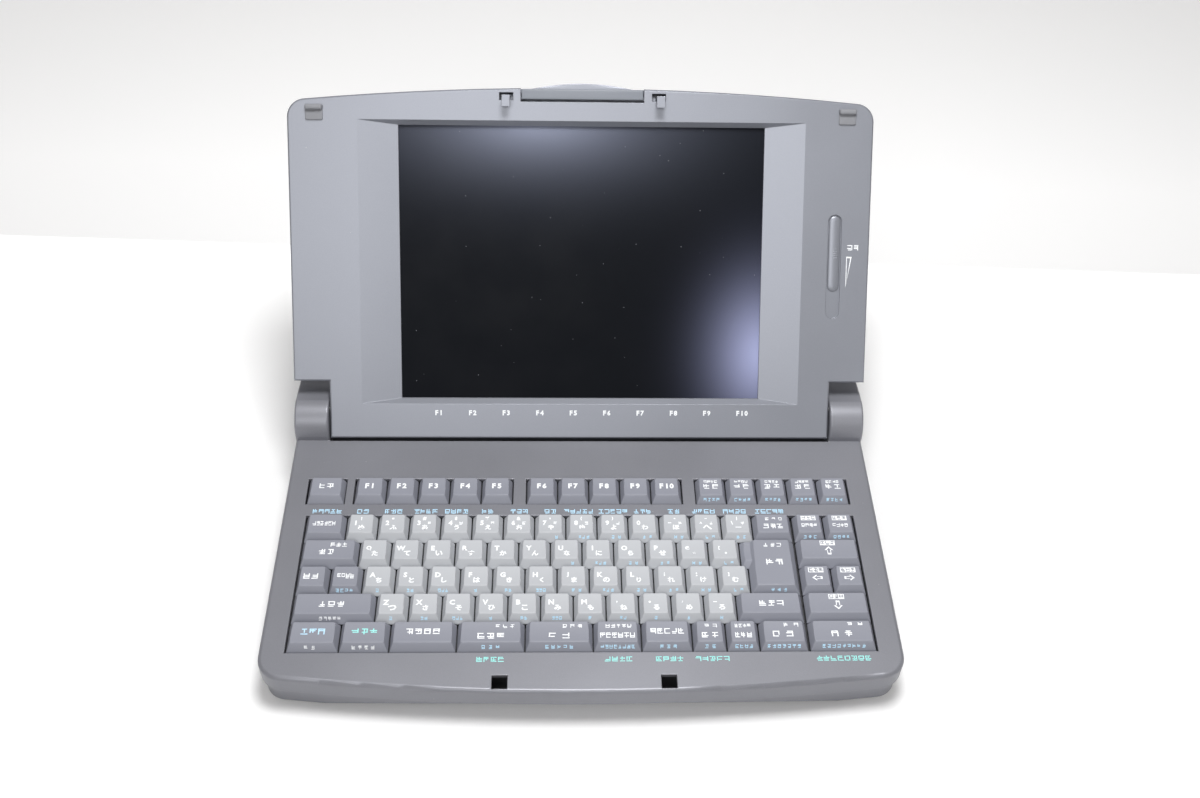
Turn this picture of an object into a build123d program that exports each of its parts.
"""Electronic word processor: a keyboard base with a printer behind it and a hinged screen lid.

Frame: +Z up, +X to the typist's right, -Y towards the typist. The origin is on the table,
under the middle of the whole object with its lid open. Millimetres.
"""

from build123d import *
from math import cos, radians, sin
import os

os.makedirs("parts", exist_ok=True)

# ---- Driving dimensions ----
WIDTH = 320.0  # the case, side to side
HALF = WIDTH / 2
SLOPE = 4.0  # the keyboard deck rises to the back, degrees
FRONT_HEIGHT = 25.0  # the deck's front edge above the table
DECK_FRONT = -160.0  # the deck's front edge at the middle, in deck y
DECK_FRONT_SIDE = -150.2  # where the same curve meets the side walls
CASE_REAR = 112.0  # the rear wall, in deck y
PARTING = -12.0  # the seam of the two case halves, in deck z
WALL = 2.2
FOOT = 3.0

HOUSING_FRONT = 35.0  # printer housing behind the lid
HOUSING_TOP = 16.5
BOSS_IN = 141.0  # inner side of each hinge boss

AXIS_Y, AXIS_Z = 16.2, 10.1  # lid hinge line, in deck y and z
LID_OPEN = 128.76  # opened from the closed lid, degrees
LID_GAP = 3.5  # from the deck to the closed lid
LID_THICK = 15.5
LID_LENGTH = 193.3
LID_AXIS_V = 16.0  # hinge line above the lid's bottom edge
BEZEL_DEPTH = AXIS_Z - LID_GAP  # the lid halves part at the hinge line
EAR_V = 32.3  # the lid's full width starts here, above the bosses
LID_NECK = 140.3  # half width of the lid between the bosses
PIN_R = 2.5
TROUGH_R = 18.8

KEY_PITCH = 16.85  # row to row
LETTER_PITCH = 16.685  # key to key along a row
ROW_1 = -61.1  # middle of the number row
KEY_GAP = 0.7
CAP_BOTTOM = -2.2
CAP_TOP = 3.0
CAP_TAPER = 18.0
KEY_TRAVEL = 3.0
STEM = 4.4
STEM_PLAY = 0.4
STEM_BOTTOM = -9.0

PLATEN_Y, PLATEN_Z, PLATEN_R = 62.0, 2.0, 9.0
RAIL_Y, RAIL_Z, RAIL_R = 80.5, -5.0, 3.0
RUNNING = 0.06  # radial play of a running fit
COVER_AXIS_Y, COVER_AXIS_Z, COVER_T = 97.9, 15.0, 3.0


# ---- Frames ----
def tilted(y, z, angle):
    """The plane through (0, y, z) whose own y runs back and up at this angle from level."""
    normal = (0, -sin(radians(angle)), cos(radians(angle)))
    return Plane(origin=(0, y, z), x_dir=(1, 0, 0), z_dir=normal)


def side(frame, x):
    """The plane across X at x: its own x and y are the frame's y and z."""
    return Plane(origin=frame.from_local_coords((x, 0, 0)), x_dir=frame.y_dir, z_dir=(1, 0, 0))


LID_ANGLE = 180 - LID_OPEN + SLOPE
deck_z = FRONT_HEIGHT - DECK_FRONT * sin(radians(SLOPE))
level_deck = tilted(0, deck_z, SLOPE)
hinge = level_deck.from_local_coords((0, AXIS_Y, AXIS_Z))
lid_hinge = tilted(hinge.Y, hinge.Z, LID_ANGLE)
front_y = level_deck.from_local_coords((0, DECK_FRONT, 0)).Y
lid_top = (0, LID_LENGTH - LID_AXIS_V, BEZEL_DEPTH - LID_THICK)
rear_y = lid_hinge.from_local_coords(lid_top).Y
DECK_Y = -(front_y + rear_y) / 2

deck = tilted(DECK_Y, deck_z, SLOPE)
lid_hinge = tilted(hinge.Y + DECK_Y, hinge.Z, LID_ANGLE)
lid_corner = lid_hinge.from_local_coords((0, -LID_AXIS_V, BEZEL_DEPTH))
lid = tilted(lid_corner.Y, lid_corner.Z, LID_ANGLE)  # y from the bottom edge, z from the face


deck_up = Axis(deck.origin, deck.z_dir)
deck_back = Axis(deck.origin, deck.y_dir)
lid_out = Axis(lid.origin, lid.z_dir)


def edges_at(part, axis, height):
    """The part's edges that lie at one height along an axis."""
    return part.edges().filter_by_position(axis, height - 0.01, height + 0.01)


def span_box(frame, x, y, z, mode=Mode.ADD):
    """A box given by its (low, high) in each direction of a frame."""
    middle = ((x[0] + x[1]) / 2, (y[0] + y[1]) / 2, (z[0] + z[1]) / 2)
    with Locations(frame.location * Pos(*middle)):
        Box(x[1] - x[0], y[1] - y[0], z[1] - z[0], mode=mode)


def x_rod(frame, x, y, z, radius, mode=Mode.ADD):
    """A round bar along X from x[0] to x[1]."""
    with Locations(frame.location * Pos((x[0] + x[1]) / 2, y, z)):
        Cylinder(radius, x[1] - x[0], rotation=(0, 90, 0), mode=mode)


def mirrored(x):
    """The same (low, high) on the other side of the middle."""
    return (-x[1], -x[0])


def about(middle, size):
    """The (low, high) of a length about its middle."""
    return (middle - size / 2, middle + size / 2)


def wider(span, play):
    """A (low, high) opened by the same play at both ends."""
    return (span[0] - play, span[1] + play)


def write(made, name):
    made.label = name
    export_step(made, f"parts/{name}.step")


# ---- Case outline ----
def case_outline(inset, rear=CASE_REAR):
    """The plan of the case, drawn in by inset, with its bowed front edge."""
    with BuildSketch(Plane.XY) as plan:
        with BuildLine():
            left = (-HALF + inset, DECK_FRONT_SIDE + inset)
            right = (HALF - inset, DECK_FRONT_SIDE + inset)
            ThreePointArc(left, (0, DECK_FRONT + inset), right)
            Polyline(right, (HALF - inset, rear - inset), (-HALF + inset, rear - inset), left)
        make_face()
        corners = plan.vertices().group_by(Axis.Y)
        fillet(corners[0], 13 - inset)
        fillet(corners[-1], 6 - inset)
    return plan.sketch


SEAM_STEP = 1.5  # the lower half stands in from the upper one
outer_plan = case_outline(0)
seam_plan = case_outline(SEAM_STEP)
lower_plan = case_outline(SEAM_STEP + WALL)
upper_plan = case_outline(WALL)

# Screw places: two rows of posts along the side walls.
POST_X = 153.4
POST_YS = (-126.0, -38.0, 105.0)
POST_TOP = 13.0
POST_R, SCREW_HEAD_R, SCREW_R = 3.4, 2.7, 1.4
SCREW_SINK = 1.4  # how deep the screw heads sit in the floor
SCREW_PLAY, SCREW_LONG = 0.3, 12.0

# ---- Lower case: a shallow tub with an undercut front ----
FLOOR_TOP = FOOT + WALL
UNDERCUT = 9.0
TUB_DEEP = 40.0  # more than the tub's depth, before the floor cuts it off
TABLE = Plane.XY
STANDING = (Align.CENTER, Align.CENTER, Align.MIN)


def tub(plan, floor):
    """The space under the seam, down to the floor, with its front slanted under."""
    inset = floor - FOOT
    lip = DECK_FRONT + SEAM_STEP + inset
    low = PARTING - 1 - UNDERCUT * 1.5
    with BuildPart() as made:
        with BuildSketch(deck.offset(PARTING)):
            add(plan)
        extrude(amount=-TUB_DEEP)
        split(bisect_by=TABLE.offset(floor), keep=Keep.TOP)
        with BuildSketch(side(deck, -HALF - 1)):
            with BuildLine():
                outside = lip - UNDERCUT
                Polyline((outside, PARTING - 1), (outside, low), (lip + UNDERCUT, low),
                         (lip, PARTING - 1), close=True)
            make_face()
        extrude(amount=WIDTH + 2, mode=Mode.SUBTRACT)
    return made.part


tub_outside = tub(seam_plan, FOOT)
tub_inside = tub(lower_plan, FLOOR_TOP)

FDD_X = (46.0, 156.0)
FDD_Y = (DECK_Y - 2, DECK_Y + 100)
FDD_Z = (FLOOR_TOP, FLOOR_TOP + 17)
DISK_Y = (DECK_Y + 2, DECK_Y + 94)
DISK_Z = (FLOOR_TOP + 9, FLOOR_TOP + 13.6)
EJECT_Y = (DECK_Y + 72, DECK_Y + 84)
EJECT_Z = (FLOOR_TOP + 3, FLOOR_TOP + 7)
INLET_X, INLET_Z = -132.0, -20.0
INLET_WIDE, INLET_TALL = 16.0, 12.0
SWITCH_Y, SWITCH_Z = 78.0, -20.0
SWITCH_LONG, SWITCH_TALL = 12.0, 4.6
SLOT_PLAY = 0.4
SIDE_WALL_X = (154.0, HALF + 1)
BOARD_POST_R = 3.0
POST_WORLD_YS = [deck.from_local_coords((0, y, -20)).Y for y in POST_YS]
SCREW_PLACES = [(x, y) for x in (-POST_X, POST_X) for y in POST_WORLD_YS]
BOARD_PLACES = [(x, DECK_Y + y) for x in (-136, 30) for y in (-110, 80)]
BOARD_Z = FLOOR_TOP + 2.8

with BuildPart() as lower_case:
    add(tub_outside)
    add(tub_inside, mode=Mode.SUBTRACT)
    span_box(deck, about(INLET_X, INLET_WIDE), (CASE_REAR - 8, CASE_REAR + 4),
             about(INLET_Z, INLET_TALL), mode=Mode.SUBTRACT)
    span_box(deck, mirrored(SIDE_WALL_X), about(SWITCH_Y, SWITCH_LONG),
             about(SWITCH_Z, SWITCH_TALL), mode=Mode.SUBTRACT)
    span_box(TABLE, SIDE_WALL_X, DISK_Y, DISK_Z, mode=Mode.SUBTRACT)
    span_box(TABLE, SIDE_WALL_X, wider(EJECT_Y, SLOT_PLAY), wider(EJECT_Z, SLOT_PLAY),
             mode=Mode.SUBTRACT)
    with Locations(*[(x, y, FLOOR_TOP - 0.1) for x, y in SCREW_PLACES]):
        Cylinder(POST_R, POST_TOP - FLOOR_TOP, align=STANDING)
    with Locations(*[(x, y, FLOOR_TOP - 0.1) for x, y in BOARD_PLACES]):
        Cylinder(BOARD_POST_R, BOARD_Z - FLOOR_TOP + 0.1, align=STANDING)
    with Locations(*[(x, y, FOOT) for x, y in SCREW_PLACES]):
        Cylinder(SCREW_HEAD_R + SCREW_PLAY, SCREW_SINK, align=STANDING, mode=Mode.SUBTRACT)
        Cylinder(SCREW_R + 0.1, POST_TOP + WALL, align=STANDING, mode=Mode.SUBTRACT)
write(lower_case.part, "lower_case")

FOOT_R = 7.0
FOOT_PLACES = [(x, DECK_Y + y) for x in (-130, 130) for y in (-128, 96)]
with BuildPart() as rubber_feet:
    with Locations(*[(x, y, 0) for x, y in FOOT_PLACES]):
        Cylinder(FOOT_R, FOOT, align=STANDING)
write(rubber_feet.part, "rubber_feet")

with BuildPart() as case_screws:
    with Locations(*[(x, y, FOOT + 0.2) for x, y in SCREW_PLACES]):
        Cylinder(SCREW_HEAD_R, SCREW_SINK - 0.2, align=STANDING)
    with Locations(*[(x, y, FOOT + 1.0) for x, y in SCREW_PLACES]):
        Cylinder(SCREW_R, SCREW_LONG, align=STANDING)
write(case_screws.part, "case_screws")

# ---- Keys: each (left, right, row) in deck x; row 0 is the function row ----
WELL_GAP = 0.6


def run_of(left, count, pitch, row):
    """Keys of one width in a row, from their left end."""
    return [(left + i * pitch, left + (i + 1) * pitch, row) for i in range(count)]


LETTERS_1, LETTERS_2, LETTERS_3, LETTERS_4 = -125.3, -116.8, -113.2, -104.9
BLOCK_LEFT, BLOCK_RIGHT = -147.0, 147.0
CURSOR_LEFT, CURSOR_MID, MAIN_RIGHT = 113.4, 130.2, 112.8
F_LEFT, F_MID, F_EDIT = -123.3, -29.9, 62.5
ROW_0 = -35.9

keys = {
    "exit_key": [(-148.7, -128.2, 0)],
    "function_keys": run_of(F_LEFT, 5, 17.2, 0) + run_of(F_MID, 5, 17.0, 0),
    "edit_keys": run_of(F_EDIT, 5, 16.85, 0),
    "preset_key": [(BLOCK_LEFT, LETTERS_1, 1)],
    "number_keys": run_of(LETTERS_1, 13, LETTER_PITCH, 1),
    "backspace_key": [(LETTERS_1 + 13 * LETTER_PITCH, MAIN_RIGHT, 1)],
    "page_keys": [(CURSOR_LEFT, CURSOR_MID, 1), (CURSOR_MID, BLOCK_RIGHT, 1)],
    "tab_key": [(BLOCK_LEFT, LETTERS_2, 2)],
    "upper_letter_keys": run_of(LETTERS_2, 12, LETTER_PITCH, 2),
    "up_key": [(CURSOR_LEFT, BLOCK_RIGHT, 2)],
    "mode_keys": [(BLOCK_LEFT, -130.1, 3), (-130.1, LETTERS_3, 3)],
    "home_letter_keys": run_of(LETTERS_3, 12, LETTER_PITCH, 3),
    "left_key": [(CURSOR_LEFT, CURSOR_MID, 3)],
    "right_key": [(CURSOR_MID, BLOCK_RIGHT, 3)],
    "left_shift_key": [(BLOCK_LEFT, LETTERS_4, 4)],
    "lower_letter_keys": run_of(LETTERS_4, 11, LETTER_PITCH, 4),
    "right_shift_key": [(LETTERS_4 + 11 * LETTER_PITCH, MAIN_RIGHT, 4)],
    "down_key": [(CURSOR_LEFT, BLOCK_RIGHT, 4)],
    "symbol_keys": [(BLOCK_LEFT, -121.1, 5), (-121.1, -96.3, 5)],
    "space_key": [(-96.3, -63.0, 5)],
    "no_convert_key": [(-63.0, -29.0, 5)],
    "convert_key": [(-29.0, 5.0, 5)],
    "kana_convert_key": [(5.0, 29.2, 5)],
    "kana_alpha_key": [(29.2, 54.7, 5)],
    "command_keys": [(54.7, 71.8, 5), (71.8, 88.4, 5)],
    "cancel_key": [(88.4, MAIN_RIGHT, 5)],
    "run_key": [(CURSOR_LEFT, BLOCK_RIGHT, 5)],
}
RETURN_LEFT_TOP = LETTERS_2 + 12 * LETTER_PITCH
RETURN_LEFT_LOW = LETTERS_3 + 12 * LETTER_PITCH
FUNCTION_WELLS = [(-148.7, -128.2), (F_LEFT, F_LEFT + 86), (F_MID, F_MID + 85), (F_EDIT, 146.75)]


def row_y(row):
    """Middle of a row of keys, in deck y."""
    return ROW_0 if row == 0 else ROW_1 - (row - 1) * KEY_PITCH


CAP_DEEP = KEY_PITCH - KEY_GAP
HOLLOW_TOP = 1.0
HOLLOW_WALL = 2.3
stem_places = []
for name, cells in keys.items():
    places = [((left + right) / 2, row_y(row)) for left, right, row in cells]
    wide = cells[0][1] - cells[0][0] - KEY_GAP
    stem_places += places
    with BuildPart() as caps:
        with BuildSketch(deck.offset(CAP_BOTTOM)):
            for place, (left, right, row) in zip(places, cells):
                with Locations(place):
                    Rectangle(right - left - KEY_GAP, CAP_DEEP)
        extrude(amount=CAP_TOP - CAP_BOTTOM, taper=CAP_TAPER)
        with BuildSketch(deck.offset(CAP_BOTTOM)):
            with Locations(*places):
                Rectangle(wide - 2 * HOLLOW_WALL, CAP_DEEP - 2 * HOLLOW_WALL)
        extrude(amount=HOLLOW_TOP - CAP_BOTTOM, mode=Mode.SUBTRACT)
        with BuildSketch(deck.offset(STEM_BOTTOM)):
            with Locations(*places):
                Rectangle(STEM, STEM)
        extrude(amount=HOLLOW_TOP - STEM_BOTTOM)
    write(caps.part, name)

# Tall return key over rows 2 and 3, narrower at its foot.
RETURN_TOP = row_y(2) + CAP_DEEP / 2
RETURN_STEP = (row_y(2) + row_y(3)) / 2 + KEY_GAP / 2
RETURN_FOOT = row_y(3) - CAP_DEEP / 2
RETURN_RIGHT = MAIN_RIGHT - KEY_GAP / 2
RETURN_STEM = ((RETURN_LEFT_LOW + MAIN_RIGHT) / 2, (row_y(2) + row_y(3)) / 2)
with BuildPart() as return_key:
    with BuildSketch(deck.offset(CAP_BOTTOM)):
        with BuildLine():
            Polyline(
                (RETURN_LEFT_TOP + KEY_GAP / 2, RETURN_TOP),
                (RETURN_LEFT_TOP + KEY_GAP / 2, RETURN_STEP),
                (RETURN_LEFT_LOW + KEY_GAP / 2, RETURN_STEP),
                (RETURN_LEFT_LOW + KEY_GAP / 2, RETURN_FOOT),
                (RETURN_RIGHT, RETURN_FOOT),
                (RETURN_RIGHT, RETURN_TOP),
                close=True,
            )
        make_face()
    extrude(amount=CAP_TOP - CAP_BOTTOM, taper=CAP_TAPER)
    hollow_x = (RETURN_LEFT_LOW + KEY_GAP / 2, RETURN_RIGHT)
    span_box(deck, wider(hollow_x, -HOLLOW_WALL), wider((RETURN_FOOT, RETURN_TOP), -HOLLOW_WALL),
             (CAP_BOTTOM, HOLLOW_TOP), mode=Mode.SUBTRACT)
    with BuildSketch(deck.offset(STEM_BOTTOM)):
        with Locations(RETURN_STEM):
            Rectangle(STEM, STEM)
    extrude(amount=HOLLOW_TOP - STEM_BOTTOM)
write(return_key.part, "return_key")
stem_places.append(RETURN_STEM)

# ---- Keyboard under the caps: a guide frame, rubber domes and a steel back plate ----
FRAME_X, FRAME_Y = (-149.2, 149.2), (-140.5, -24.0)
FRAME_TOP = CAP_BOTTOM - KEY_TRAVEL - 0.4
FRAME_BOTTOM = FRAME_TOP - 1.4
FRAME_WALL = 1.6
SHEET_Z = (-14.0, -13.0)
DOME_TOP = STEM_BOTTOM - KEY_TRAVEL - 0.4
DOME_R, DOME_TAPER = 4.5, 30
PLATE_Z = (SHEET_Z[0] - 1.2, SHEET_Z[0])

with BuildPart() as key_frame:
    span_box(deck, FRAME_X, FRAME_Y, (SHEET_Z[1], FRAME_TOP))
    span_box(deck, wider(FRAME_X, -FRAME_WALL), wider(FRAME_Y, -FRAME_WALL),
             (SHEET_Z[1], FRAME_BOTTOM), mode=Mode.SUBTRACT)
    with BuildSketch(deck.offset(FRAME_BOTTOM)):
        with Locations(*stem_places):
            Rectangle(STEM + 2 * STEM_PLAY, STEM + 2 * STEM_PLAY)
    extrude(amount=FRAME_TOP - FRAME_BOTTOM, mode=Mode.SUBTRACT)
write(key_frame.part, "key_frame")

with BuildPart() as dome_sheet:
    span_box(deck, FRAME_X, FRAME_Y, SHEET_Z)
    with BuildSketch(deck.offset(SHEET_Z[1])):
        with Locations(*stem_places):
            RegularPolygon(radius=DOME_R, side_count=8)
    extrude(amount=DOME_TOP - SHEET_Z[1], taper=DOME_TAPER)
write(dome_sheet.part, "dome_sheet")

with BuildPart() as keyboard_plate:
    span_box(deck, FRAME_X, FRAME_Y, PLATE_Z)
write(keyboard_plate.part, "keyboard_plate")

# ---- Upper case: deck, hinge bosses and printer housing in one moulding ----
CATCHES = [(-44.8, -37.2), (38.0, 45.6)]
CATCH_Y = (-157.5, -150.2)
CATCH_DEEP = 7.0  # the hooks reach this far without meeting the front wall
BAY_X, BAY_Y = 125.0, (50.0, 100.0)
KNOB_X, KNOB_R = (149.0, 158.5), 11.0
POCKET_X, POCKET_Y, POCKET_FLOOR = (147.6, HALF + 1), (49.4, 74.6), -10.0
SHAFT_HOLE_R = 4.0
PAPER_X, PAPER_Z = 110.0, (2.0, 8.0)
CHEEK_X, CHEEK_Y = (BAY_X, BAY_X + 3.4), (93.0, 103.0)
LEDGE_X = (-20.0, 20.0)  # the cover's front edge rests on this ledge
RIM_ROUND, LIP_ROUND, BOSS_ROUND, WELL_ROUND = 2.0, 0.8, 1.2, 0.35
WELL_SPAN = (DECK_FRONT + 1, -20)
COVER_STUB = 1.0
LEDGE_TOP = HOUSING_TOP - COVER_T - 0.1


def boss_profile(inset):
    """Side view of a hinge boss, drawn in by inset."""
    with BuildSketch(Plane.XY) as profile:
        with BuildLine():
            foot = (0.6 + inset, PARTING)
            nose = (0.6 + inset, 3.0)
            crest = (16.0, 16.6 - inset)
            tail = (HOUSING_FRONT + 0.2, 13.4 - inset)
            Line(foot, nose)
            ThreePointArc(nose, (5.2 + inset * 0.75, 12.3 - inset * 0.75), crest)
            ThreePointArc(crest, (25.0, 15.4 - inset), tail)
            Polyline(tail, (HOUSING_FRONT + 0.2, PARTING), foot)
        make_face()
    return profile.sketch


def housing_profile(inset):
    """Side view of the printer housing, drawn in by inset."""
    with BuildSketch(Plane.XY) as profile:
        with BuildLine():
            Polyline(
                (HOUSING_FRONT + inset, PARTING),
                (CASE_REAR - inset, PARTING),
                (CASE_REAR - inset, HOUSING_TOP - 6 - inset * 0.4),
                (CASE_REAR - 6 - inset * 0.4, HOUSING_TOP - inset),
                (43.0, HOUSING_TOP - inset),
                (HOUSING_FRONT + inset, 13.6 - inset),
                close=True,
            )
        make_face()
    return profile.sketch


def across(profile, x):
    """Extrudes a side view from x[0] to x[1]."""
    with BuildPart() as made:
        with BuildSketch(side(deck, x[0])):
            add(profile)
        extrude(amount=x[1] - x[0])
    return made.part


def tall_plan(plan, top):
    """The plan of the case as a prism from the seam up."""
    with BuildPart() as made:
        with BuildSketch(deck.offset(PARTING)):
            add(plan)
        extrude(amount=top - PARTING)
    return made.part


BOSS_X = (BOSS_IN, HALF)
BOSS_HOLLOW_X = (BOSS_IN + WALL, HALF - WALL)


def boss(x):
    """A hinge boss with its long edges rounded."""
    with BuildPart() as made:
        add(across(boss_profile(0), x))
        rims = made.faces().filter_by(Axis.X).edges()
        rims = rims.filter_by_position(deck_back, 0, HOUSING_FRONT - 1)
        fillet(rims.filter_by_position(deck_up, PARTING + 1, HOUSING_TOP), BOSS_ROUND)
    return made.part


with BuildPart() as deck_slab:
    add(tall_plan(outer_plan, 0))
    fillet(edges_at(deck_slab, deck_up, 0), RIM_ROUND)
    fillet(edges_at(deck_slab, deck_up, PARTING), LIP_ROUND)

with BuildPart() as housing:
    add(across(housing_profile(0), (-HALF, HALF)))
    ends = housing.faces().filter_by(Axis.X).edges()
    ends = ends.filter_by_position(deck_back, HOUSING_FRONT + 1, CASE_REAR + 1)
    fillet(ends.filter_by_position(deck_up, PARTING + 1, HOUSING_TOP + 1), BOSS_ROUND)

with BuildPart() as raised_parts:
    add(housing.part)
    add(boss(BOSS_X))
    add(boss(mirrored(BOSS_X)))
    add(tall_plan(outer_plan, HOUSING_TOP + 1), mode=Mode.INTERSECT)

with BuildPart() as raised_hollows:
    add(across(housing_profile(WALL), (-HALF + WALL, HALF - WALL)))
    add(tall_plan(upper_plan, HOUSING_TOP + 1), mode=Mode.INTERSECT)

with BuildPart() as trough_wall:
    with BuildSketch(side(deck, -BOSS_IN - WALL)):
        with Locations((AXIS_Y, AXIS_Z)):
            Circle(TROUGH_R + WALL)
        with Locations((AXIS_Y, 20)):
            Rectangle(50, 44, mode=Mode.SUBTRACT)
    extrude(amount=2 * (BOSS_IN + WALL))

with BuildPart() as upper_case:
    add(deck_slab.part)
    add(raised_parts.part)
    add(tall_plan(upper_plan, -WALL), mode=Mode.SUBTRACT)
    add(raised_hollows.part, mode=Mode.SUBTRACT)
    add(across(boss_profile(WALL), BOSS_HOLLOW_X), mode=Mode.SUBTRACT)
    add(across(boss_profile(WALL), mirrored(BOSS_HOLLOW_X)), mode=Mode.SUBTRACT)
    add(trough_wall.part)
    x_rod(deck, (-BOSS_IN, BOSS_IN), AXIS_Y, AXIS_Z, TROUGH_R, mode=Mode.SUBTRACT)
    x_rod(deck, (-BOSS_IN - 3, BOSS_IN + 3), AXIS_Y, AXIS_Z, PIN_R + 0.5, mode=Mode.SUBTRACT)
    with BuildSketch(deck.offset(-WALL - 1)) as wells:
        for left, right in FUNCTION_WELLS:
            with Locations(((left + right) / 2, ROW_0)):
                Rectangle(right - left + WELL_GAP, KEY_PITCH + WELL_GAP)
        with Locations((0, row_y(3))):
            Rectangle(BLOCK_RIGHT - BLOCK_LEFT + WELL_GAP, 5 * KEY_PITCH + WELL_GAP)
    extrude(amount=WALL + 2, mode=Mode.SUBTRACT)
    for x in CATCHES:
        span_box(deck, x, CATCH_Y, (-CATCH_DEEP, 1), mode=Mode.SUBTRACT)
    well_rims = edges_at(upper_case, deck_up, 0).filter_by_position(deck_back, *WELL_SPAN)
    fillet(well_rims.filter_by_position(Axis.X, -BLOCK_RIGHT - 3, BLOCK_RIGHT + 3), WELL_ROUND)
    span_box(deck, (-BAY_X, BAY_X), BAY_Y, (5, HOUSING_TOP + 1), mode=Mode.SUBTRACT)
    for x in (CHEEK_X, mirrored(CHEEK_X)):
        span_box(deck, x, CHEEK_Y, (9, HOUSING_TOP - 0.4))
        x_rod(deck, x, COVER_AXIS_Y, COVER_AXIS_Z, COVER_STUB + RUNNING, mode=Mode.SUBTRACT)
    span_box(deck, LEDGE_X, (BAY_Y[0] - 3, BAY_Y[0]), (LEDGE_TOP - 1.6, HOUSING_TOP - 1))
    span_box(deck, LEDGE_X, (BAY_Y[0] - 3, BAY_Y[0] + 2), (LEDGE_TOP - 1.6, LEDGE_TOP))
    span_box(deck, (POCKET_X[0] - WALL, HALF), (POCKET_Y[0] - WALL, POCKET_Y[1] + WALL),
             (PARTING, HOUSING_TOP))
    span_box(deck, POCKET_X, POCKET_Y, (POCKET_FLOOR, HOUSING_TOP + 1), mode=Mode.SUBTRACT)
    x_rod(deck, (POCKET_X[0] - 4, POCKET_X[0] + 1), PLATEN_Y, PLATEN_Z, SHAFT_HOLE_R,
          mode=Mode.SUBTRACT)
    span_box(deck, (-PAPER_X, PAPER_X), (CASE_REAR - 4, CASE_REAR + 2), PAPER_Z,
             mode=Mode.SUBTRACT)
write(upper_case.part, "upper_case")

# ---- Printer cover: a flap hinged at the rear of the housing, with the paper slot ----
COVER_X = BAY_X - 0.5
SLOT_Y = (66.0, 71.5)
FINGER_X = (-12.0, 12.0)
with BuildPart() as printer_cover:
    span_box(deck, (-COVER_X, COVER_X), (BAY_Y[0] + 0.6, COVER_AXIS_Y),
             (HOUSING_TOP - COVER_T, HOUSING_TOP))
    fillet(edges_at(printer_cover, deck_up, HOUSING_TOP), 0.6)
    x_rod(deck, (-COVER_X, COVER_X), COVER_AXIS_Y, COVER_AXIS_Z, COVER_T / 2)
    x_rod(deck, (-COVER_X - 3, COVER_X + 3), COVER_AXIS_Y, COVER_AXIS_Z, COVER_STUB)
    span_box(deck, (-PAPER_X, PAPER_X), SLOT_Y, (HOUSING_TOP - 5, HOUSING_TOP + 1),
             mode=Mode.SUBTRACT)
    span_box(deck, FINGER_X, (BAY_Y[0], BAY_Y[0] + 5), (HOUSING_TOP - 1, HOUSING_TOP + 1),
             mode=Mode.SUBTRACT)
write(printer_cover.part, "printer_cover")

# ---- Printer: chassis, platen, carriage on its rail, belt and motors ----
CHASSIS_X, CHASSIS_Y = 114.0, (42.0, 105.0)
CHASSIS_Z = -14.0
CHASSIS_T, CHASSIS_BASE, CHASSIS_TOP = 1.5, 1.2, 11.0
IDLER_X, MOTOR_X, PULLEY_Y, PULLEY_R = -98.0, 98.0, 94.0, 5.0
BELT_T, BELT_Z = 1.0, (0.6, 3.4)
PULLEY_TOP = BELT_Z[1] + 0.4

with BuildPart() as printer_chassis:
    span_box(deck, (-CHASSIS_X, CHASSIS_X), CHASSIS_Y, (CHASSIS_Z - CHASSIS_BASE, CHASSIS_Z))
    for x in ((CHASSIS_X - CHASSIS_T, CHASSIS_X), (-CHASSIS_X, -CHASSIS_X + CHASSIS_T)):
        span_box(deck, x, CHASSIS_Y, (CHASSIS_Z, CHASSIS_TOP))
        x_rod(deck, x, PLATEN_Y, PLATEN_Z, RAIL_R + RUNNING, mode=Mode.SUBTRACT)
    with BuildSketch(deck.offset(CHASSIS_Z)):
        with Locations((IDLER_X, PULLEY_Y)):
            Circle(PULLEY_R)
    extrude(amount=PULLEY_TOP - CHASSIS_Z)
write(printer_chassis.part, "printer_chassis")

ROLLER_X, SHAFT_X = (-108.0, 108.0), (-122.0, 156.0)
with BuildPart() as platen_roller:
    x_rod(deck, ROLLER_X, PLATEN_Y, PLATEN_Z, PLATEN_R)
    x_rod(deck, SHAFT_X, PLATEN_Y, PLATEN_Z, RAIL_R)
write(platen_roller.part, "platen_roller")

GRIP_LONG, GRIP_NOTCHES, NOTCH_R = 7.0, 16, 1.3
with BuildPart() as platen_knob:
    with BuildSketch(side(deck, KNOB_X[0])):
        with Locations((PLATEN_Y, PLATEN_Z)):
            Circle(KNOB_R)
            Circle(RAIL_R, mode=Mode.SUBTRACT)
            with PolarLocations(KNOB_R + 0.4, GRIP_NOTCHES):
                Circle(NOTCH_R, mode=Mode.SUBTRACT)
    extrude(amount=GRIP_LONG)
    with BuildSketch(side(deck, KNOB_X[0] + GRIP_LONG)):
        with Locations((PLATEN_Y, PLATEN_Z)):
            Circle(KNOB_R - 2)
    extrude(amount=KNOB_X[1] - KNOB_X[0] - GRIP_LONG)
write(platen_knob.part, "platen_knob")

with BuildPart() as carriage_rail:
    x_rod(deck, (-CHASSIS_X + CHASSIS_T, CHASSIS_X - CHASSIS_T), RAIL_Y, RAIL_Z, RAIL_R)
write(carriage_rail.part, "carriage_rail")

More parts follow.
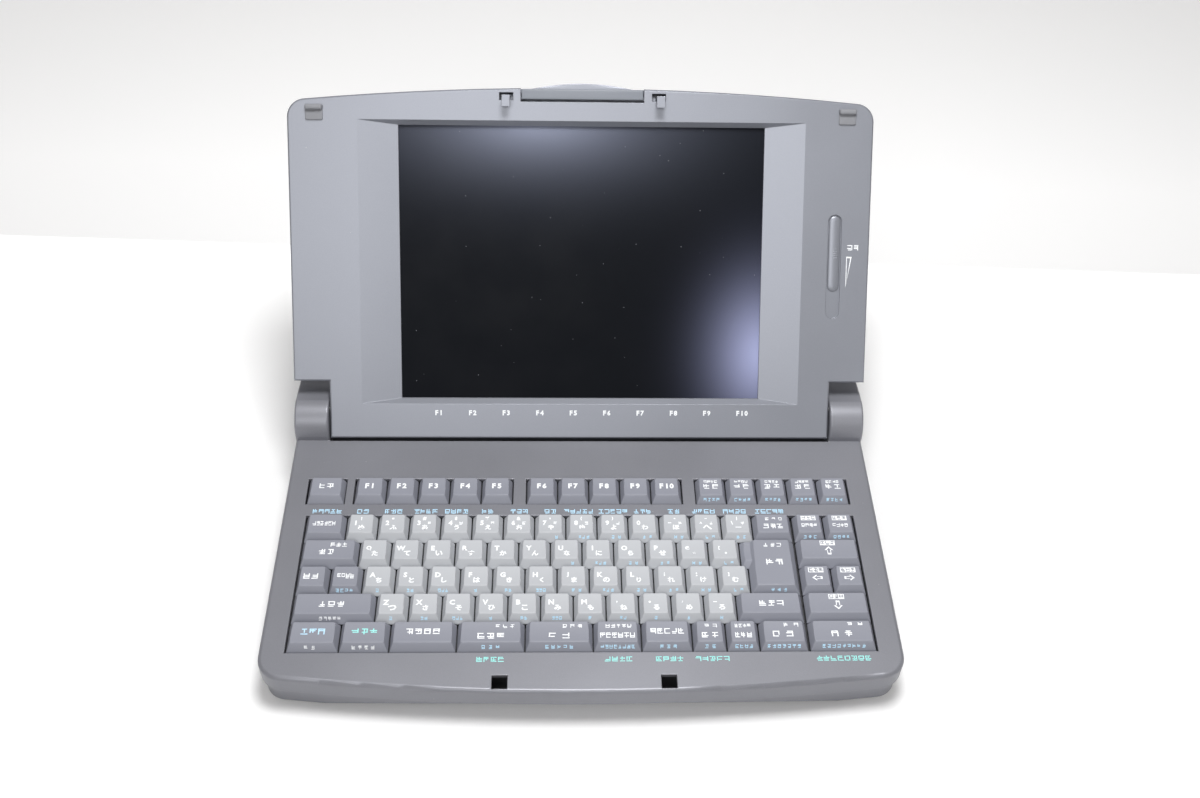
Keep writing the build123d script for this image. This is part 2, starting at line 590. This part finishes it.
CARRIAGE_X, CARRIAGE_Y, CARRIAGE_Z = (-110.0, -78.0), (75.0, 85.4), (-9.5, 4.0)
CARRIAGE_MID = sum(CARRIAGE_X) / 2
HEAD_Y, HEAD_Z = (71.9, CARRIAGE_Y[0]), (-3.0, 3.9)
with BuildPart() as print_carriage:
    span_box(deck, CARRIAGE_X, CARRIAGE_Y, CARRIAGE_Z)
    span_box(deck, about(CARRIAGE_MID, 10), HEAD_Y, HEAD_Z)
    x_rod(deck, wider(CARRIAGE_X, 1), RAIL_Y, RAIL_Z, RAIL_R + RUNNING, mode=Mode.SUBTRACT)
write(print_carriage.part, "print_carriage")

CASSETTE_Y, CASSETTE_Z = (75.4, 97.0), (CARRIAGE_Z[1], 10.5)
ARM_OUT, ARM_WIDE = 8.5, 5.0  # the two arms that lead the ribbon past the head
with BuildPart() as ribbon_cassette:
    span_box(deck, wider(CARRIAGE_X, -1), CASSETTE_Y, CASSETTE_Z)
    for arm in (CARRIAGE_MID - ARM_OUT, CARRIAGE_MID + ARM_OUT):
        span_box(deck, about(arm, ARM_WIDE), (HEAD_Y[0] + 0.1, CASSETTE_Y[0]), CASSETTE_Z)
write(ribbon_cassette.part, "ribbon_cassette")

MOTOR_R, MOTOR_TALL = 8.0, 13.5
with BuildPart() as carriage_motor:
    with BuildSketch(deck.offset(CHASSIS_Z)):
        with Locations((MOTOR_X, PULLEY_Y)):
            Circle(MOTOR_R)
    extrude(amount=MOTOR_TALL)
    with BuildSketch(deck.offset(CHASSIS_Z + MOTOR_TALL)):
        with Locations((MOTOR_X, PULLEY_Y)):
            Circle(PULLEY_R)
    extrude(amount=PULLEY_TOP - CHASSIS_Z - MOTOR_TALL)
write(carriage_motor.part, "carriage_motor")

with BuildPart() as carriage_belt:
    with BuildSketch(deck.offset(BELT_Z[0])):
        with Locations(((IDLER_X + MOTOR_X) / 2, PULLEY_Y)):
            SlotCenterToCenter(MOTOR_X - IDLER_X, 2 * (PULLEY_R + BELT_T))
            SlotCenterToCenter(MOTOR_X - IDLER_X, 2 * PULLEY_R, mode=Mode.SUBTRACT)
    extrude(amount=BELT_Z[1] - BELT_Z[0])
write(carriage_belt.part, "carriage_belt")

GEARBOX_X, GEARBOX_Y = (-138.0, -CHASSIS_X), (48.0, 76.0)
with BuildPart() as feed_gearbox:
    span_box(deck, GEARBOX_X, GEARBOX_Y, (CHASSIS_Z, CHASSIS_TOP))
    x_rod(deck, (SHAFT_X[0] - 1, GEARBOX_X[1] + 1), PLATEN_Y, PLATEN_Z, RAIL_R + 0.3,
          mode=Mode.SUBTRACT)
write(feed_gearbox.part, "feed_gearbox")

# ---- Electronics in the base ----
BOARD_X, BOARD_Y = (-144.0, 38.0), (DECK_Y - 118, DECK_Y + 88)
BOARD_T, CHIP_T = 1.6, 2.4
CHIPS = [  # middle x, y and size
    (-100, -60, 28, 28),
    (-50, -60, 22, 22),
    (-100, 0, 34, 14),
    (-50, 0, 34, 14),
    (0, -10, 16, 34),
    (-20, -90, 40, 12),
]
with BuildPart() as main_board:
    span_box(TABLE, BOARD_X, BOARD_Y, (BOARD_Z, BOARD_Z + BOARD_T))
    for x, y, wide, deep in CHIPS:
        span_box(TABLE, about(x, wide), about(DECK_Y + y, deep),
                 (BOARD_Z + BOARD_T, BOARD_Z + BOARD_T + CHIP_T))
write(main_board.part, "main_board")

JACK_R, JACK_PIN_R, JACK_DEEP = 3.2, 1.1, 13.0
INLET_Y = (97.0, 110.4)
INLET_PLAY = 0.3
with BuildPart() as power_inlet:
    span_box(deck, about(INLET_X, INLET_WIDE - 2 * INLET_PLAY), INLET_Y,
             about(INLET_Z, INLET_TALL - 2 * INLET_PLAY))
    with Locations(side(deck, INLET_X).location * Pos(INLET_Y[1] - JACK_DEEP / 2, INLET_Z, 0)):
        Cylinder(JACK_R, JACK_DEEP, rotation=(0, 90, 0), mode=Mode.SUBTRACT)
    with Locations(side(deck, INLET_X).location * Pos(sum(INLET_Y) / 2 - 1, INLET_Z, 0)):
        Cylinder(JACK_PIN_R, JACK_DEEP - 2, rotation=(0, 90, 0))
write(power_inlet.part, "power_inlet")

SWITCH_REST = SWITCH_Y - SWITCH_LONG / 2 + SLOT_PLAY
BUTTON_LONG, FLANGE_OVER = 7.0, 2.0
BUTTON_X, FLANGE_X = (-159.5, -154.6), (-155.9, -154.4)
with BuildPart() as power_switch:
    span_box(deck, BUTTON_X, (SWITCH_REST, SWITCH_REST + BUTTON_LONG),
             about(SWITCH_Z, SWITCH_TALL - 2 * SLOT_PLAY))
    span_box(deck, FLANGE_X, wider((SWITCH_REST, SWITCH_REST + BUTTON_LONG), FLANGE_OVER),
             about(SWITCH_Z, SWITCH_TALL + FLANGE_OVER + 0.6))
write(power_switch.part, "power_switch")

DISK_IN, EJECT_IN = 64.0, 145.0
with BuildPart() as floppy_drive:
    span_box(TABLE, FDD_X, FDD_Y, FDD_Z)
    span_box(TABLE, (DISK_IN, FDD_X[1] + 1), DISK_Y, DISK_Z, mode=Mode.SUBTRACT)
    span_box(TABLE, (EJECT_IN, FDD_X[1] + 1), wider(EJECT_Y, SLOT_PLAY), wider(EJECT_Z, SLOT_PLAY),
             mode=Mode.SUBTRACT)
write(floppy_drive.part, "floppy_drive")

EJECT_X = (EJECT_IN + KEY_TRAVEL + 1, HALF - 0.4)
with BuildPart() as floppy_eject_button:
    span_box(TABLE, EJECT_X, EJECT_Y, EJECT_Z)
write(floppy_eject_button.part, "floppy_eject_button")

# ---- Hinges: a bracket in each boss, and pins that turn with the lid ----
BRACKET_X, BRACKET_FOOT_X, BRACKET_Y = (146.0, 148.0), (148.0, 157.6), (12.0, 20.4)
BRACKET_Z, BRACKET_FOOT_Z = (PARTING + 0.5, 13.2), (PARTING + 0.5, PARTING + 2)
with BuildPart() as hinge_brackets:
    for turned in (tuple, mirrored):
        span_box(deck, turned(BRACKET_X), BRACKET_Y, BRACKET_Z)
        span_box(deck, turned(BRACKET_FOOT_X), BRACKET_Y, BRACKET_FOOT_Z)
        x_rod(deck, turned(BRACKET_X), AXIS_Y, AXIS_Z, PIN_R + RUNNING, mode=Mode.SUBTRACT)
write(hinge_brackets.part, "hinge_brackets")

PIN_X = (127.0, 153.0)
with BuildPart() as hinge_pins:
    for x in (PIN_X, mirrored(PIN_X)):
        x_rod(lid_hinge, x, 0, 0, PIN_R)
write(hinge_pins.part, "hinge_pins")

# ---- Lid: bezel and cover meet at the hinge line ----
BACK = -LID_THICK
SEAM = -BEZEL_DEPTH
SKIN = 2.0
LID_SIDE_TOP = 185.5
SCREEN_X, SCREEN_V = 100.4, (22.5, 173.0)
DISH_X, DISH_V, DISH_DEPTH = 122.5, (19.5, 175.6), 3.0
DISH_FLOOR = -4.6
PANEL_X, PANEL_V = 112.0, (16.5, 179.0)
GRIP_X, GRIP_V = 33.2, (186.7, 193.0)
GRIP_BACK = -3.6
BULGE_X, BULGE_TOP, BULGE_Z = 28.5, 196.6, -10.4
WINDOWS = [(-45.2, -37.6), (37.9, 45.4)]
WINDOW_V = (186.5, 190.6)
HOOKS = [(-43.6, -39.3), (40.1, 44.6)]
HOOK_V, HOOK_TIP_V = (187.6, 188.8), 182.7
HOOK_Z = (6.0, 7.4)
BAR_V = (186.9, 188.9)
SLIDER_X, SLIDER_V = 140.5, (83.7, 125.5)
SLIDER_SLOT_V = (68.4, 126.1)
SLIDER_PROUD = 0.15  # the closed lid clears the key tops by little more
BLOCK_X = (126.0, LID_NECK - 1)
BLOCK_LONG = 11.0
LID_CORNER, LID_EDGE, COVER_ROUND = 10.0, 0.8, 3.0
SLOT_WIDE, SLIDER_WIDE = 7.7, 6.5
GROOVE_DEEP = 1.2
STEM_WIDE, STEM_PLAY, STEM_V = 2.0, 0.3, (100.0, 108.0)
STEM_TRAVEL_V = (85.0, 108.0)  # the slider's 15 mm of travel below its stem
SLIDER_FOOT_V = (96.0, 113.0)
INVERTER_X, INVERTER_V, INVERTER_Z = (10.0, 100.0), (4.0, 14.0), (-12.0, -10.6)
COIL_X, COIL_V = (30.0, 46.0), (5.0, 13.0)
PANEL_T = 7.0


def lid_outline(inset):
    """The lid seen square on: a neck between the bosses and a bowed top edge."""
    with BuildSketch(Plane.XY) as plan:
        with BuildLine():
            top_right = (HALF - inset, LID_SIDE_TOP - inset)
            top_left = (-HALF + inset, LID_SIDE_TOP - inset)
            Polyline(
                top_left,
                (-HALF + inset, EAR_V + inset),
                (-LID_NECK + inset, EAR_V + inset),
                (-LID_NECK + inset, inset),
                (LID_NECK - inset, inset),
                (LID_NECK - inset, EAR_V + inset),
                (HALF - inset, EAR_V + inset),
                top_right,
            )
            ThreePointArc(top_right, (0, LID_LENGTH - inset), top_left)
        make_face()
        corners = plan.vertices().filter_by_position(Axis.Y, LID_SIDE_TOP - 3, LID_SIDE_TOP + 1)
        fillet(corners, LID_CORNER - inset)
    return plan.sketch


def hinge_blocks(z):
    """Solid blocks inside the lid that hold the pins."""
    for x in (BLOCK_X, mirrored(BLOCK_X)):
        span_box(lid, x, about(LID_AXIS_V, BLOCK_LONG), z)


def pin_holes():
    for x in ((PIN_X[0], LID_NECK + 1), (-LID_NECK - 1, -PIN_X[0])):
        x_rod(lid_hinge, x, 0, 0, PIN_R, mode=Mode.SUBTRACT)


with BuildPart() as screen_dish:
    with BuildSketch(lid):
        with Locations((0, sum(DISH_V) / 2)):
            Rectangle(2 * DISH_X, DISH_V[1] - DISH_V[0])
    with BuildSketch(lid.offset(-DISH_DEPTH)):
        with Locations((0, sum(SCREEN_V) / 2)):
            Rectangle(2 * SCREEN_X, SCREEN_V[1] - SCREEN_V[0])
    loft(ruled=True)
    span_box(lid, (-SCREEN_X, SCREEN_X), SCREEN_V, (DISH_FLOOR - 1, -DISH_DEPTH))

with BuildPart() as lid_bezel:
    with BuildSketch(lid.offset(SEAM)):
        add(lid_outline(0))
    extrude(amount=-SEAM)
    chamfer(edges_at(lid_bezel, lid_out, 0), LID_EDGE)
    with BuildSketch(lid.offset(SEAM)):
        add(lid_outline(WALL))
    extrude(amount=-SEAM - SKIN, mode=Mode.SUBTRACT)
    span_box(lid, (-DISH_X - 2, DISH_X + 2), (DISH_V[0] - 2, DISH_V[1] + 2), (DISH_FLOOR, -0.5))
    hinge_blocks((SEAM, -1))
    add(screen_dish.part, mode=Mode.SUBTRACT)
    span_box(lid, (-GRIP_X - 0.4, GRIP_X + 0.4), (GRIP_V[0] - 1, LID_LENGTH + 1), (SEAM - 1, 1),
             mode=Mode.SUBTRACT)
    for x in WINDOWS:
        span_box(lid, x, WINDOW_V, (-SKIN - 1, 1), mode=Mode.SUBTRACT)
    with BuildSketch(lid.offset(-GROOVE_DEEP)):
        with Locations((SLIDER_X, sum(SLIDER_SLOT_V) / 2)):
            SlotOverall(SLIDER_SLOT_V[1] - SLIDER_SLOT_V[0], SLOT_WIDE, rotation=90)
    extrude(amount=GROOVE_DEEP + 1, mode=Mode.SUBTRACT)
    span_box(lid, about(SLIDER_X, STEM_WIDE + 2 * STEM_PLAY), wider(STEM_TRAVEL_V, 2 * STEM_PLAY),
             (-SKIN - 1, 0), mode=Mode.SUBTRACT)
    pin_holes()
write(lid_bezel.part, "lid_bezel")

with BuildPart() as lid_cover:
    with BuildSketch(lid.offset(BACK)):
        add(lid_outline(0))
    extrude(amount=SEAM - BACK)
    fillet(edges_at(lid_cover, lid_out, BACK), COVER_ROUND)
    with BuildSketch(lid.offset(BACK + WALL)):
        add(lid_outline(WALL))
    extrude(amount=SEAM - BACK, mode=Mode.SUBTRACT)
    hinge_blocks((BACK + 1, SEAM))
    span_box(lid, (-BULGE_X - 0.7, BULGE_X + 0.7), (LID_LENGTH - 4, LID_LENGTH + 1),
             (BULGE_Z - 0.4, 1), mode=Mode.SUBTRACT)
    pin_holes()
write(lid_cover.part, "lid_cover")

with BuildPart() as lcd_panel:
    span_box(lid, (-PANEL_X, PANEL_X), PANEL_V, (DISH_FLOOR - PANEL_T, DISH_FLOOR))
write(lcd_panel.part, "lcd_panel")

with BuildPart() as backlight_inverter:
    span_box(lid, INVERTER_X, INVERTER_V, INVERTER_Z)
    span_box(lid, COIL_X, COIL_V, (INVERTER_Z[1], SEAM + 0.6))
write(backlight_inverter.part, "backlight_inverter")

BUMPER_X, BUMPER_V, BUMPER_RIDGE = (140.6, 150.0), (174.9, 183.4), 3.1
with BuildPart() as lid_bumpers:
    for x in (BUMPER_X, mirrored(BUMPER_X)):
        span_box(lid, x, BUMPER_V, (0, 1))
        span_box(lid, x, (BUMPER_V[1] - BUMPER_RIDGE, BUMPER_V[1]), (0, BUMPER_RIDGE))
write(lid_bumpers.part, "lid_bumpers")

# ---- Sliding latch: the grip on the lid's top edge and its two hooks ----
with BuildPart() as latch_grip:
    span_box(lid, (-GRIP_X, GRIP_X), GRIP_V, (GRIP_BACK, 0))
    with BuildSketch(lid.offset(BULGE_Z)):
        with BuildLine():
            left, right = (-BULGE_X, GRIP_V[1] - 0.6), (BULGE_X, GRIP_V[1] - 0.6)
            inner = GRIP_V[0] + 3.5
            Polyline(left, (-BULGE_X, inner), (BULGE_X, inner), right)
            ThreePointArc(right, (0, BULGE_TOP), left)
        make_face()
    extrude(amount=GRIP_BACK - BULGE_Z)
write(latch_grip.part, "latch_grip")

with BuildPart() as latch_hooks:
    span_box(lid, (HOOKS[0][0], HOOKS[1][1]), BAR_V, (GRIP_BACK - 1.6, GRIP_BACK))
    for x in HOOKS:
        span_box(lid, x, HOOK_V, (GRIP_BACK, HOOK_Z[1]))
        span_box(lid, x, (HOOK_TIP_V, HOOK_V[0]), HOOK_Z)
write(latch_hooks.part, "latch_hooks")

with BuildPart() as contrast_slider:
    with BuildSketch(lid.offset(-GROOVE_DEEP + 0.1)):
        with Locations((SLIDER_X, sum(SLIDER_V) / 2)):
            SlotOverall(SLIDER_V[1] - SLIDER_V[0], SLIDER_WIDE, rotation=90)
    extrude(amount=GROOVE_DEEP - 0.1 + SLIDER_PROUD)
    span_box(lid, about(SLIDER_X, STEM_WIDE), STEM_V, (-SKIN - 0.3, -GROOVE_DEEP + 0.1))
    span_box(lid, about(SLIDER_X, SLIDER_WIDE + 3.5), SLIDER_FOOT_V, (-SKIN - 1.8, -SKIN - 0.3))
write(contrast_slider.part, "contrast_slider")
